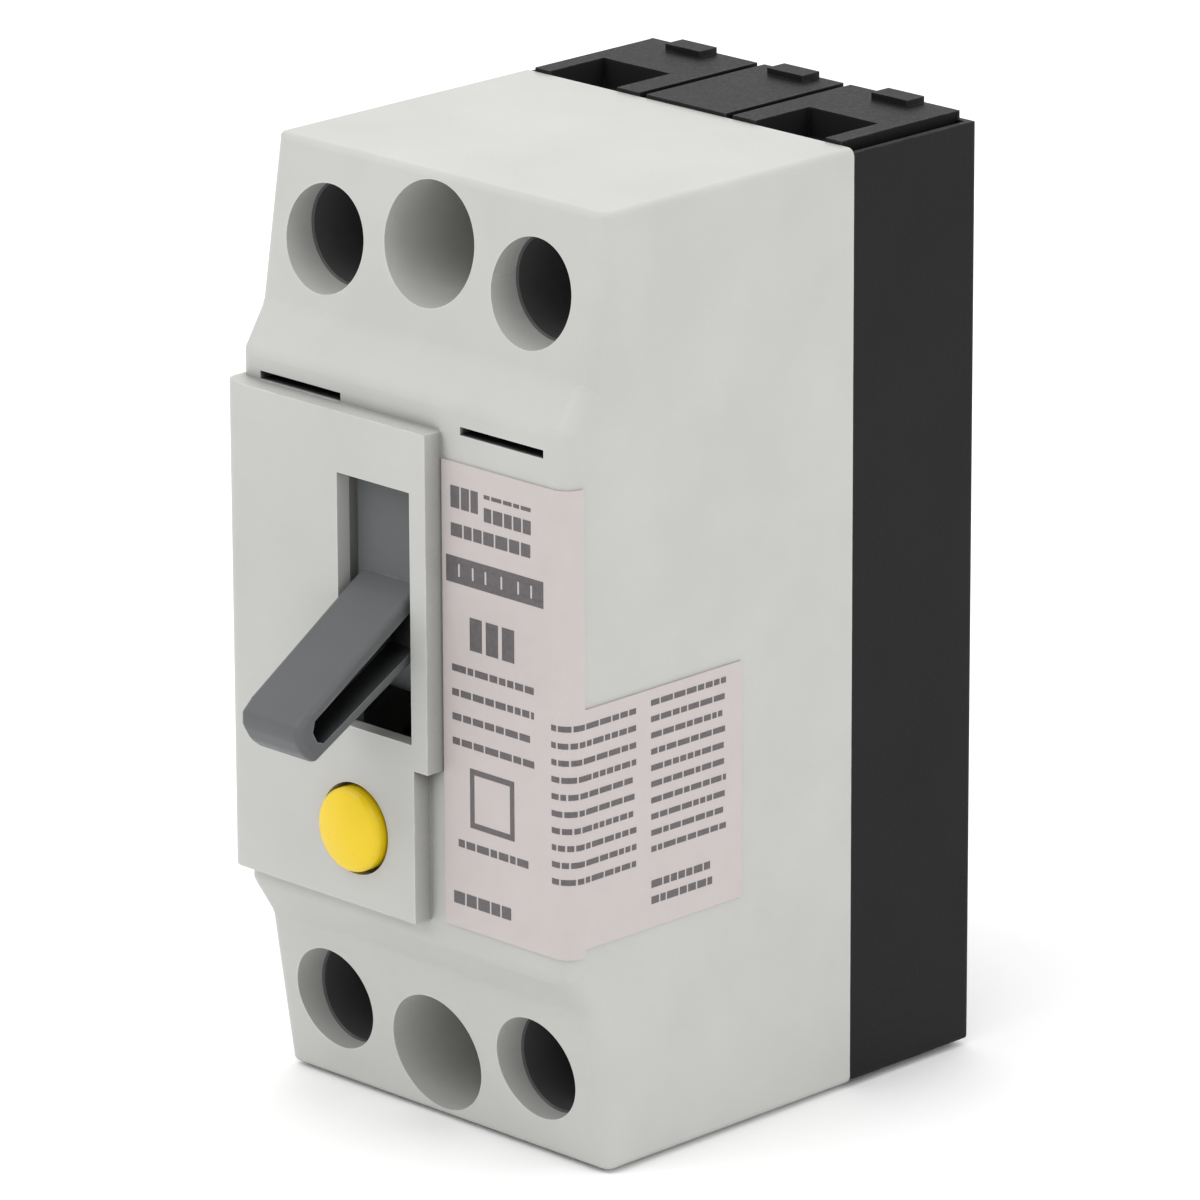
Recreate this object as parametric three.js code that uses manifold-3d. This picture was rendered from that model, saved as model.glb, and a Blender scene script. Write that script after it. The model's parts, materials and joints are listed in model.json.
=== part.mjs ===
// Two-pole earth-leakage (GFCI) breaker for a distribution board, in millimetres.
// Frame: +X right seen from the front, -Y towards the user, +Z up towards the line side.
// The origin is the centre of the flat rear mounting face.
import * as THREE from 'three';
import { mergeVertices } from 'three/addons/utils/BufferGeometryUtils.js';
import Module from 'manifold-3d';

const wasm = await Module();
wasm.setup();

// ---------------------------------------------------------------- driving dimensions
const WIDTH = 33;
const HEIGHT = 70;
const DEPTH = 43;                    // rear face to raised front panel
const HALF_W = WIDTH / 2;
const HALF_H = HEIGHT / 2;
const FRONT = -DEPTH;
const BASE_DEPTH = 12.8;
const SPLIT = -BASE_DEPTH;           // plane where the cover meets the base
const CORNER = 1.3;                  // rounding of the cover's long corners
const WALL = 1.5;
const FIT = 0.1;                     // clearance between pieces that are assembled together
const RUN = 0.3;                     // clearance around pieces that move

// front face steps, as depths behind the raised panel
const STEP_DEPTH = 1.6;
const BEVEL_DEPTH = 3.5;
const END_DEPTH = 5.4;
const BEVEL_TOP = 20;                // half height where the bevel starts
const BEVEL_END = 23;                // half height where the terminal face starts
const PANEL_RIGHT = 4.1;
const PANEL_NOTCH = 2.7;
const PANEL_NOTCH_TOP = -7;
const PANEL_TOP = 17.9;
const PANEL_BOTTOM = -18.4;

// terminals and mounting holes
const POLE_X = 10.3;
const TERMINAL_Z = 28.45;
const ACCESS_R = 3.9;
const ACCESS_TUBE_R = 4.9;
const ACCESS_TUBE_END = -33;
const MOUNT_Z = 30;
const MOUNT_BORE_R = 4.45;
const MOUNT_TUBE_R = 5.3;
const MOUNT_SEAT = -4.5;             // floor of the counterbore that the screw head sits on
const MOUNT_SCREW_R = 2.25;
const PEDESTAL_TOP = -6.2;
const PLATE_T = 1;
const PLATE_FACE = PEDESTAL_TOP - FIT - PLATE_T;
const PLATE_W = 6.6;
const WIRE_W = 6.8;
const CLAMP_TRAVEL = 4.2;
const CLAMP_T = 1;
const CLAMP_FACE = PLATE_FACE - CLAMP_TRAVEL - 0.4;
const SCREW_R = 1.6;
const SCREW_HEAD_R = 3.3;
const SCREW_HEAD_T = 2.4;
const CONTACT_Z = 15.2;
const BIMETAL_Z = -13;

// case screws, driven from behind into the cover's columns
const CASE_SCREW_X = 13.1;
const CASE_SCREW_Z = 21.2;
const CASE_COLUMN = 2.1;
const CASE_SHANK_R = 1.1;
const CASE_HEAD_R = 2.1;
const CASE_HEAD_T = 1.4;
const CASE_SHANK_END = -20;

// handle
const SLOT = { x0: -4.8, x1: 2.5, z0: -5.1, z1: 13.4 };
const HANDLE_Y = FRONT + 9;
const HANDLE_Z = 4.2;
const HANDLE_X0 = -4.4;
const HANDLE_X1 = 2.1;
const LEVER_X0 = -4.1;
const LEVER_X1 = 1.9;
const DRUM_R = 8.7;
const HUB_R = 3.2;
const PIN_R = 1;
const CRANK_R = 5.6;
const CRANK_ANGLE = THREE.MathUtils.degToRad(22.5);

// switching mechanism
const FRAME_LEFT_X = -6;
const FRAME_RIGHT_X = 3.4;
const FRAME_T = 1;
const CARRIER_Y = -15;
const CARRIER_Z = 1;
const CARRIER_R = 3;
const OPEN_ANGLE = THREE.MathUtils.degToRad(18);
const LATCH_Y = -21.8;
const LATCH_Z = 10;
const TRIP_BAR_Y = -25.2;
const TRIP_BAR_Z = -9.2;
const TRIP_BAR_R = 1.5;

// test button
const BUTTON_X = -3.4;
const BUTTON_Z = -12.7;
const BUTTON_R = 3.1;
const BUTTON_PROUD = 0.9;

// sensing and tripping
const BOARD_Y = -31.4;
const BOARD_T = 1.4;
const CORE_Y = -10.9;
const CORE_Z = -16.5;
const CORE_R = 7.8;
const CORE_BORE_R = 4;
const CORE_H = 6;
const COIL_Y = -21.9;
const COIL_Z0 = -22.6;
const COIL_Z1 = -14.2;
const COIL_R = 2.9;
const PLUNGER_R = 1.1;
const PLUNGER_GAP = 1.7;               // from the trip bar's axis to the plunger at rest

const FINE = 40;
const MEDIUM = 24;
const COARSE = 16;
const SIDES = [['left', -1], ['right', 1]];
const ENDS = [['line', 1], ['load', -1]];

// ---------------------------------------------------------------- solids
function toSolid(geometry) {
  const bare = geometry.clone();
  bare.deleteAttribute('normal');
  bare.deleteAttribute('uv');
  const merged = mergeVertices(bare, 1e-4);
  return new wasm.Manifold(new wasm.Mesh({
    numProp: 3,
    vertProperties: new Float32Array(merged.attributes.position.array),
    triVerts: new Uint32Array(merged.index.array),
  }));
}

function toGeometry(solid) {
  const mesh = solid.getMesh();
  const geometry = new THREE.BufferGeometry();
  geometry.setAttribute('position', new THREE.BufferAttribute(mesh.vertProperties, 3));
  geometry.setIndex(new THREE.BufferAttribute(mesh.triVerts, 1));
  return geometry;
}

const join = (...solids) => solids.reduce((whole, next) => whole.add(next));
const cut = (body, ...tools) => tools.reduce((rest, tool) => rest.subtract(tool), body);

function box(x0, x1, y0, y1, z0, z1) {
  const geometry = new THREE.BoxGeometry(x1 - x0, y1 - y0, z1 - z0);
  geometry.translate((x0 + x1) / 2, (y0 + y1) / 2, (z0 + z1) / 2);
  return toSolid(geometry);
}

function rodX(radius, x0, x1, y, z, segments = COARSE) {
  const geometry = new THREE.CylinderGeometry(radius, radius, x1 - x0, segments);
  geometry.rotateZ(-Math.PI / 2);
  geometry.translate((x0 + x1) / 2, y, z);
  return toSolid(geometry);
}

function rodY(radius, y0, y1, x, z, segments = COARSE) {
  const geometry = new THREE.CylinderGeometry(radius, radius, y1 - y0, segments);
  geometry.translate(x, (y0 + y1) / 2, z);
  return toSolid(geometry);
}

function rodZ(radius, z0, z1, x, y, segments = COARSE) {
  const geometry = new THREE.CylinderGeometry(radius, radius, z1 - z0, segments);
  geometry.rotateX(Math.PI / 2);
  geometry.translate(x, y, (z0 + z1) / 2);
  return toSolid(geometry);
}

function outline(points) {
  return new THREE.Shape(points.map(([a, b]) => new THREE.Vector2(a, b)));
}

// a (y, z) outline pushed along X, with its two ends rounded by bevel
function prismX(shape, x0, x1, bevel = 0) {
  const geometry = new THREE.ExtrudeGeometry(shape, {
    depth: x1 - x0 - 2 * bevel,
    bevelEnabled: bevel > 0,
    bevelThickness: bevel,
    bevelSize: bevel,
    bevelOffset: -bevel,
    bevelSegments: 4,
    curveSegments: 12,
  });
  const toYZ = new THREE.Matrix4().makeBasis(
    new THREE.Vector3(0, 1, 0), new THREE.Vector3(0, 0, 1), new THREE.Vector3(1, 0, 0));
  geometry.applyMatrix4(toYZ);
  geometry.translate(x0 + bevel, 0, 0);
  return toSolid(geometry);
}

// an (x, y) outline pushed along Z
function prismZ(shape, z0, z1) {
  const geometry = new THREE.ExtrudeGeometry(shape, {
    depth: z1 - z0,
    bevelEnabled: false,
    curveSegments: 6,
  });
  geometry.translate(0, 0, z0);
  return toSolid(geometry);
}

// a tube along a smooth curve through the points
function tube(curve, radius, steps, sides) {
  const section = new THREE.Shape();
  for (let i = 0; i < sides; i += 1) {
    const angle = 2 * Math.PI * i / sides;
    const x = radius * Math.cos(angle);
    const y = radius * Math.sin(angle);
    if (i === 0) section.moveTo(x, y);
    else section.lineTo(x, y);
  }
  section.closePath();
  return new THREE.ExtrudeGeometry(section, { steps, extrudePath: curve, bevelEnabled: false });
}

class Helix extends THREE.Curve {
  constructor(radius, pitch, turns) {
    super();
    this.radius = radius;
    this.pitch = pitch;
    this.turns = turns;
  }

  getPoint(t, target = new THREE.Vector3()) {
    const angle = 2 * Math.PI * this.turns * t;
    return target.set(this.radius * Math.cos(angle), this.radius * Math.sin(angle),
      this.pitch * this.turns * t);
  }
}

// ---------------------------------------------------------------- the assembly
const breaker = new THREE.Group();

const FINISH = {
  coverPlastic: { color: 0xd2d2ce, roughness: 0.55, metalness: 0 },
  basePlastic: { color: 0x2b2b2c, roughness: 0.6, metalness: 0 },
  handlePlastic: { color: 0x55565a, roughness: 0.5, metalness: 0 },
  buttonPlastic: { color: 0xe8d01c, roughness: 0.4, metalness: 0 },
  label: { color: 0xcdc5c4, roughness: 0.7, metalness: 0 },
  steel: { color: 0xa9abad, roughness: 0.35, metalness: 1 },
  brass: { color: 0xb79a5a, roughness: 0.35, metalness: 1 },
  copper: { color: 0xb8704a, roughness: 0.4, metalness: 1 },
  silver: { color: 0xcfcfcb, roughness: 0.3, metalness: 1 },
  moulding: { color: 0x3a2f2a, roughness: 0.6, metalness: 0 },
  board: { color: 0x2f6b45, roughness: 0.5, metalness: 0 },
  blueLacquer: { color: 0x2b5fa8, roughness: 0.45, metalness: 0 },
  chip: { color: 0x1c1c1e, roughness: 0.5, metalness: 0 },
  beige: { color: 0xcbb48c, roughness: 0.5, metalness: 0 },
  insulation: { color: 0x8f1f1f, roughness: 0.5, metalness: 0 },
};

function addNode(name, solid, finish, parent = breaker) {
  const geometry = solid instanceof THREE.BufferGeometry ? solid : toGeometry(solid);
  const mesh = new THREE.Mesh(geometry, new THREE.MeshStandardMaterial(FINISH[finish]));
  mesh.name = name;
  parent.add(mesh);
  return mesh;
}

// ---------------------------------------------------------------- housing
function coverOuter() {
  const rear = SPLIT + 2 * CORNER;
  const body = prismX(outline([
    [rear, -HALF_H],
    [rear, HALF_H],
    [FRONT + END_DEPTH, HALF_H],
    [FRONT + BEVEL_DEPTH, BEVEL_END],
    [FRONT + STEP_DEPTH, BEVEL_TOP],
    [FRONT + STEP_DEPTH, -BEVEL_TOP],
    [FRONT + BEVEL_DEPTH, -BEVEL_END],
    [FRONT + END_DEPTH, -HALF_H],
  ]), -HALF_W, HALF_W, CORNER);
  const panelSection = new THREE.Shape();
  panelSection.moveTo(-HALF_W, FRONT + 4);
  panelSection.lineTo(-HALF_W, FRONT + CORNER);
  panelSection.absarc(-HALF_W + CORNER, FRONT + CORNER, CORNER, Math.PI, 1.5 * Math.PI);
  panelSection.lineTo(PANEL_RIGHT, FRONT);
  panelSection.lineTo(PANEL_RIGHT, FRONT + 4);
  const panel = prismZ(panelSection, PANEL_BOTTOM, PANEL_TOP);
  const notch = box(PANEL_NOTCH, PANEL_RIGHT + 1, FRONT - 1, FRONT + STEP_DEPTH,
    PANEL_BOTTOM - 1, PANEL_NOTCH_TOP);
  const behindSplit = box(-HALF_W - 1, HALF_W + 1, SPLIT, rear + 1, -HALF_H - 1, HALF_H + 1);
  return cut(join(body, cut(panel, notch)), behindSplit);
}

function coverColumns() {
  const columns = [];
  for (const [, end] of ENDS) {
    columns.push(rodY(MOUNT_TUBE_R, FRONT, SPLIT + 1, 0, end * MOUNT_Z, FINE));
    for (const [, side] of SIDES) {
      columns.push(rodY(ACCESS_TUBE_R, FRONT, ACCESS_TUBE_END, side * POLE_X, end * TERMINAL_Z, FINE));
      columns.push(box(...caseColumn(side), FRONT, SPLIT + 1, ...caseColumnZ(end)));
    }
  }
  return join(...columns);
}

function caseColumn(side) {
  const inner = side * (CASE_SCREW_X - CASE_COLUMN);
  const outer = side * (HALF_W - 1);
  return [Math.min(inner, outer), Math.max(inner, outer)];
}

function caseColumnZ(end) {
  return [end * CASE_SCREW_Z - CASE_COLUMN, end * CASE_SCREW_Z + CASE_COLUMN];
}

function housingCover() {
  const inside = HALF_W - WALL;
  const endDepth = FRONT + END_DEPTH + WALL;
  const midDepth = FRONT + STEP_DEPTH + WALL;
  const room = join(
    box(-inside, inside, endDepth, SPLIT + 1, -HALF_H + WALL, HALF_H - WALL),
    box(-inside, inside, midDepth, SPLIT + 1, -BEVEL_TOP + 1, BEVEL_TOP - 1),
    box(HANDLE_X0 - 1.2, HANDLE_X1 + 1.2, FRONT + 1.2, SPLIT, SLOT.z0 - 1.6, SLOT.z1 + 3),
  );
  const holes = [];
  for (const [, end] of ENDS) {
    holes.push(rodY(MOUNT_BORE_R, FRONT - 1, SPLIT + 1, 0, end * MOUNT_Z, FINE));
    for (const [, side] of SIDES) {
      holes.push(rodY(ACCESS_R, FRONT - 1, SPLIT + 1, side * POLE_X, end * TERMINAL_Z, FINE));
      holes.push(rodY(CASE_SHANK_R + RUN, CASE_SHANK_END - 1, SPLIT + 1,
        side * CASE_SCREW_X, end * CASE_SCREW_Z));
    }
  }
  for (const [, side] of SIDES) {
    const slotX = [side * 6, side * 14.2].sort((a, b) => a - b);
    holes.push(box(...slotX, FRONT + STEP_DEPTH - 1, FRONT + STEP_DEPTH + 1, 18, 18.6));
  }
  const slot = box(SLOT.x0, SLOT.x1, FRONT - 1, FRONT + 6, SLOT.z0, SLOT.z1);
  const buttonHole = rodY(BUTTON_R + RUN, FRONT - 1, FRONT + 6, BUTTON_X, BUTTON_Z, FINE);
  const cavity = cut(room, coverColumns());
  addNode('housing_cover', cut(coverOuter(), cavity, slot, buttonHole, ...holes), 'coverPlastic');
}

function housingBase() {
  const END_INSET = 0.3;
  const PLATE_PROUD = 0.3;
  const FLOOR = 2.2;
  const TAB_HALF_W = 1.75;
  const TAB_PROUD = 0.5;
  const half = HALF_H - END_INSET;
  const plate = HALF_H + PLATE_PROUD;
  const outer = join(
    box(-HALF_W, HALF_W, SPLIT, 0, -half, half),
    box(-HALF_W + 1.2, HALF_W - 1.2, SPLIT, -0.6, -plate, plate),
  );
  const solids = [-POLE_X, 0, POLE_X].map((x) =>
    box(x - TAB_HALF_W, x + TAB_HALF_W, -2.6, -0.8, plate - 1, plate + TAB_PROUD));
  const tools = [];
  for (const [, end] of ENDS) {
    solids.push(rodY(MOUNT_TUBE_R, SPLIT + RUN, -FLOOR / 2, 0, end * MOUNT_Z, FINE));
    tools.push(rodY(MOUNT_BORE_R, SPLIT - 1, MOUNT_SEAT, 0, end * MOUNT_Z, FINE));
    tools.push(rodY(MOUNT_SCREW_R, MOUNT_SEAT - 1, 1, 0, end * MOUNT_Z, MEDIUM));
    for (const [, side] of SIDES) {
      const x0 = side * POLE_X - WIRE_W / 2;
      const x1 = side * POLE_X + WIRE_W / 2;
      const reach = [end * 13, end * (HALF_H - WALL)].sort((a, b) => a - b);
      const mouth = [end * (HALF_H - WALL - 1), end * (HALF_H + 2)].sort((a, b) => a - b);
      const groove = [end * (HALF_H - 0.2), end * (HALF_H + 2)].sort((a, b) => a - b);
      solids.push(box(x0, x1, PEDESTAL_TOP, -FLOOR / 2, ...reach));
      tools.push(box(x0, x1, SPLIT - 1, PLATE_FACE, ...mouth));
      tools.push(rodY(SCREW_R + RUN, PEDESTAL_TOP - 1, -1.4, side * POLE_X, end * TERMINAL_Z));
      tools.push(box(side * 4.3 - 0.35, side * 4.3 + 0.35, SPLIT - 1, 1, ...groove));
      solids.push(box(...caseColumn(side), SPLIT + RUN, -FLOOR / 2, ...caseColumnZ(end)));
      tools.push(rodY(CASE_SHANK_R + RUN, SPLIT - 1, 1, side * CASE_SCREW_X, end * CASE_SCREW_Z));
      tools.push(rodY(CASE_HEAD_R + RUN, -CASE_HEAD_T - RUN, 1, side * CASE_SCREW_X, end * CASE_SCREW_Z,
        MEDIUM));
    }
  }
  const room = box(-HALF_W + WALL, HALF_W - WALL, SPLIT - 1, -FLOOR, -HALF_H + WALL + 0.4, HALF_H - WALL - 0.4);
  const body = join(cut(outer, room), ...solids);
  addNode('housing_base', cut(body, ...tools), 'basePlastic');
}

function caseScrews() {
  for (const [endName, end] of ENDS) {
    for (const [sideName, side] of SIDES) {
      const x = side * CASE_SCREW_X;
      const z = end * CASE_SCREW_Z;
      const head = rodY(CASE_HEAD_R, -CASE_HEAD_T, -0.2, x, z, MEDIUM);
      const shank = rodY(CASE_SHANK_R, CASE_SHANK_END, -CASE_HEAD_T + 0.2, x, z);
      const drive = join(
        box(x - 1.4, x + 1.4, -0.9, 1, z - 0.3, z + 0.3),
        box(x - 0.3, x + 0.3, -0.9, 1, z - 1.4, z + 1.4),
      );
      addNode(`case_screw_${endName}_${sideName}`, cut(join(head, shank), drive), 'steel');
    }
  }
}

function ratingLabel() {
  const T = 0.14;
  const LIFT = 0.03;
  const FLAG_REAR = FRONT + 18.7;
  const inner = CORNER + LIFT;
  const outer = inner + T;
  const cx = HALF_W - CORNER;
  const cy = FRONT + STEP_DEPTH + CORNER;
  function band(x0, yEnd) {
    const section = new THREE.Shape();
    section.moveTo(x0, cy - inner);
    section.lineTo(x0, cy - outer);
    section.lineTo(cx, cy - outer);
    section.absarc(cx, cy, outer, -Math.PI / 2, 0);
    section.lineTo(cx + outer, yEnd);
    section.lineTo(cx + inner, yEnd);
    section.lineTo(cx + inner, cy);
    section.absarc(cx, cy, inner, 0, -Math.PI / 2, true);
    return section;
  }
  const strip = prismZ(band(PANEL_RIGHT + 0.2, cy + 0.2), -18.2, 16);
  const flag = prismZ(band(PANEL_RIGHT + 2, FLAG_REAR), -17.6, 0);
  addNode('rating_label', join(strip, flag), 'label');
}

// ---------------------------------------------------------------- handle
function handleGroup() {
  const skirt = new THREE.Shape();
  skirt.moveTo(-7.5, 0);
  skirt.lineTo(-7.5, 9.7);
  skirt.lineTo(-6.3, 9.7);
  skirt.lineTo(-2.4, 2.6);
  skirt.lineTo(0, HUB_R);
  skirt.absarc(0, 0, HUB_R, Math.PI / 2, -Math.PI / 3, true);
  const from = THREE.MathUtils.degToRad(-65);
  const to = THREE.MathUtils.degToRad(-160);
  skirt.absarc(0, 0, DRUM_R, from, to, true);
  const lever = outline([
    [-4, 4.2],
    [-8.6, 1.35],
    [-18.3, -4.9],
    [-19.3, -5.8],
    [-19.3, -6.8],
    [-18.6, -8],
    [-17.6, -8.8],
    [-9, -4.1],
    [-3, -0.9],
  ]);
  const crank = outline([
    [0, -2],
    [CRANK_R * Math.cos(CRANK_ANGLE) + 1, CRANK_R * Math.sin(CRANK_ANGLE) - 1.6],
    [CRANK_R * Math.cos(CRANK_ANGLE) + 1.6, CRANK_R * Math.sin(CRANK_ANGLE) + 1],
    [CRANK_R * Math.cos(CRANK_ANGLE), CRANK_R * Math.sin(CRANK_ANGLE) + 1.8],
    [-1, 2.6],
  ]);
  const crankY = CRANK_R * Math.cos(CRANK_ANGLE);
  const crankZ = CRANK_R * Math.sin(CRANK_ANGLE);
  const body = join(
    prismX(skirt, HANDLE_X0, HANDLE_X1),
    prismX(lever, LEVER_X0, LEVER_X1, 0.5),
    prismX(crank, -3.6, -2.2),
  );
  const bore = rodX(PIN_R + RUN, HANDLE_X0 - 1, HANDLE_X1 + 1, 0, 0);
  const linkBore = rodX(0.7, -4, -2, crankY, crankZ);
  const group = new THREE.Group();
  group.position.set(0, HANDLE_Y, HANDLE_Z);
  addNode('handle', cut(body, bore, linkBore), 'handlePlastic', group);
  breaker.add(group);
  addNode('handle_pin', rodX(PIN_R, FRAME_LEFT_X - 0.8, FRAME_RIGHT_X + FRAME_T + 0.8,
    HANDLE_Y, HANDLE_Z), 'steel');
}

function driveLink() {
  const LINK_T = 1.2;
  const crankY = HANDLE_Y + CRANK_R * Math.cos(CRANK_ANGLE);
  const crankZ = HANDLE_Z + CRANK_R * Math.sin(CRANK_ANGLE);
  const endY = CARRIER_Y - 5.4;
  const endZ = CARRIER_Z + 1.6;
  const bar = outline([
    [crankY - 0.9, crankZ - 1],
    [crankY - 1, crankZ + 0.9],
    [crankY + 0.6, crankZ + 1.2],
    [endY + 1, endZ + 0.9],
    [endY + 1, endZ - 1],
    [endY - 0.4, endZ - 1.1],
  ]);
  const plate = prismX(bar, -1.9, -1.9 + LINK_T);
  const pin = rodX(0.5, -3.5, -1.5, crankY, crankZ);
  addNode('drive_link', join(plate, pin), 'steel');
}

// ---------------------------------------------------------------- mechanism frame and latch
function mechanismFrames() {
  const CUT = CARRIER_R + 0.7;
  for (const [sideName, x0] of [['left', FRAME_LEFT_X], ['right', FRAME_RIGHT_X]]) {
    const plate = outline([
      [HANDLE_Y - 3, 0.6],
      [HANDLE_Y - 3, 7.6],
      [HANDLE_Y, 9],
      [LATCH_Y - 1, LATCH_Z + 2.4],
      [LATCH_Y + 3, LATCH_Z + 2.4],
      [-9, 8],
      [-2.4, 8],
      [-2.4, -6],
      [-12, -6],
      [TRIP_BAR_Y + 3, TRIP_BAR_Z - 2.6],
      [TRIP_BAR_Y - 2.4, TRIP_BAR_Z - 2.6],
      [TRIP_BAR_Y - 2.8, -5],
    ]);
    const body = cut(
      prismX(plate, x0, x0 + FRAME_T),
      rodX(PIN_R + FIT, x0 - 1, x0 + 2, HANDLE_Y, HANDLE_Z),
      rodX(PIN_R + FIT, x0 - 1, x0 + 2, LATCH_Y, LATCH_Z),
      rodX(CUT, x0 - 1, x0 + 2, CARRIER_Y, CARRIER_Z, MEDIUM),
      rodX(TRIP_BAR_R + RUN, x0 - 1, x0 + 2, TRIP_BAR_Y, TRIP_BAR_Z),
    );
    addNode(`mechanism_frame_${sideName}`, body, 'steel');
  }
}

function latch() {
  const arm = outline([
    [LATCH_Y - 1.6, LATCH_Z + 1.6],
    [LATCH_Y + 1.6, LATCH_Z + 1.6],
    [LATCH_Y + 1.2, 0],
    [LATCH_Y + 0.4, -6.4],
    [LATCH_Y - 1.8, -6.4],
    [LATCH_Y - 1.8, -5.2],
    [LATCH_Y - 0.9, -5],
    [LATCH_Y - 1.1, 0],
  ]);
  const body = cut(prismX(arm, 0.6, 2), rodX(PIN_R + RUN, 0, 3, LATCH_Y, LATCH_Z));
  addNode('latch_lever', body, 'steel');
  addNode('latch_pin', rodX(PIN_R, FRAME_LEFT_X - 0.8, FRAME_RIGHT_X + FRAME_T + 0.8,
    LATCH_Y, LATCH_Z), 'steel');
}

function tripBar() {
  const paddles = [[-1.5, 1.5], [-POLE_X - 1.5, -POLE_X + 1.5], [POLE_X - 1.5, POLE_X + 1.5]];
  const bar = rodX(TRIP_BAR_R, -13.6, 13.6, TRIP_BAR_Y, TRIP_BAR_Z, MEDIUM);
  const plates = paddles.map(([x0, x1]) =>
    box(x0, x1, TRIP_BAR_Y, TRIP_BAR_Y + 5, TRIP_BAR_Z - 0.5, TRIP_BAR_Z + 0.5));
  addNode('trip_bar', join(bar, ...plates), 'moulding');
}

// ---------------------------------------------------------------- contacts
function contactSet() {
  const ARM_W = 3.6;
  const ARM_T = 1.2;
  const ARM_START = 2;
  const ARM_END = CONTACT_Z - CARRIER_Z + 2;
  const TIP_R = 1.8;
  const TIP_T = 0.9;
  const tipFace = PLATE_FACE - FIT - TIP_T;
  const movingFace = tipFace - 0.25 - CARRIER_Y;
  const armBack = movingFace - TIP_T - FIT;
  const group = new THREE.Group();
  group.position.set(0, CARRIER_Y, CARRIER_Z);
  group.rotation.x = OPEN_ANGLE;
  const bar = rodX(CARRIER_R, -14.2, 14.2, 0, 0, MEDIUM);
  const sockets = SIDES.map(([, side]) => box(side * POLE_X - 3, side * POLE_X + 3,
    armBack - ARM_T - 1.4, armBack + 1, -2.4, 5));
  const pockets = SIDES.map(([, side]) => box(side * POLE_X - ARM_W / 2 - FIT,
    side * POLE_X + ARM_W / 2 + FIT, armBack - ARM_T - FIT, armBack + FIT, ARM_START - FIT, 8));
  addNode('contact_carrier', cut(join(bar, ...sockets), ...pockets), 'moulding', group);
  for (const [sideName, side] of SIDES) {
    const x = side * POLE_X;
    const arm = box(x - ARM_W / 2, x + ARM_W / 2, armBack - ARM_T, armBack, ARM_START, ARM_END);
    addNode(`contact_arm_${sideName}`, arm, 'copper', group);
    const tipZ = CONTACT_Z - CARRIER_Z;
    addNode(`moving_contact_${sideName}`, rodY(TIP_R, armBack + FIT, movingFace, x, tipZ), 'silver', group);
    addNode(`fixed_contact_${sideName}`, rodY(TIP_R, tipFace, tipFace + TIP_T, x, CONTACT_Z), 'silver');
  }
  breaker.add(group);
}

function arcChutes() {
  const CHUTE_W = 7.6;
  const PLATES = 5;
  const PITCH = 2.6;
  const Y0 = -22.6;
  const Z0 = 18.6;
  const Z1 = 22.6;
  const POST_X = 10.7;
  for (const [sideName, side] of SIDES) {
    const inner = side > 0 ? POST_X - CHUTE_W + 0.3 : -POST_X;
    const outer = inner + CHUTE_W - 0.3;
    const solids = [
      box(inner, inner + 0.8, Y0, Y0 + PLATES * PITCH, Z0, Z1),
      box(outer - 0.8, outer, Y0, Y0 + PLATES * PITCH, Z0, Z1),
    ];
    for (let i = 0; i < PLATES; i += 1) {
      const y = Y0 + 0.9 + i * PITCH;
      solids.push(box(inner, outer, y, y + 0.8, Z0 + 0.3, Z1 - 0.3));
    }
    addNode(`arc_chute_${sideName}`, join(...solids), 'steel');
  }
}

// ---------------------------------------------------------------- terminals
function terminalPlates() {
  for (const [endName, end] of ENDS) {
    const innerZ = end > 0 ? CONTACT_Z - 2.2 : -BIMETAL_Z + 0.4;
    for (const [sideName, side] of SIDES) {
      const x = side * POLE_X;
      const span = [end * innerZ, end * 32].sort((a, b) => a - b);
      const plate = box(x - PLATE_W / 2, x + PLATE_W / 2, PLATE_FACE, PLATE_FACE + PLATE_T, ...span);
      const hole = rodY(SCREW_R + RUN, PLATE_FACE - 1, PLATE_FACE + 2, x, end * TERMINAL_Z);
      const room = box(...caseColumn(side).map((v) => v - side * 0.3), PLATE_FACE - 1, PLATE_FACE + 2,
        end * CASE_SCREW_Z - CASE_COLUMN - 0.3, end * CASE_SCREW_Z + CASE_COLUMN + 0.3);
      addNode(`${endName}_terminal_${sideName}`, cut(plate, hole, room), 'brass');
    }
  }
}

function terminalScrews() {
  const headRear = CLAMP_FACE - CLAMP_T - RUN;
  const shankEnd = PLATE_FACE + 0.9;
  for (const [endName, end] of ENDS) {
    for (const [sideName, side] of SIDES) {
      const group = new THREE.Group();
      group.position.set(side * POLE_X, 0, end * TERMINAL_Z);
      const washer = cut(
        box(-3.2, 3.2, CLAMP_FACE - CLAMP_T, CLAMP_FACE, -3.2, 3.2),
        rodY(SCREW_R + RUN, CLAMP_FACE - 3, CLAMP_FACE + 3, 0, 0),
      );
      const head = rodY(SCREW_HEAD_R, headRear - SCREW_HEAD_T, headRear, 0, 0, MEDIUM);
      const shank = rodY(SCREW_R, headRear - 0.5, shankEnd, 0, 0);
      const front = headRear - SCREW_HEAD_T;
      const drive = join(
        box(-2.5, 2.5, front - 1, front + 1.2, -0.45, 0.45),
        box(-0.45, 0.45, front - 1, front + 1.2, -2.5, 2.5),
      );
      addNode(`${endName}_clamp_${sideName}`, washer, 'steel', group);
      addNode(`${endName}_screw_${sideName}`, cut(join(head, shank), drive), 'steel', group);
      breaker.add(group);
    }
  }
}

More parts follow.
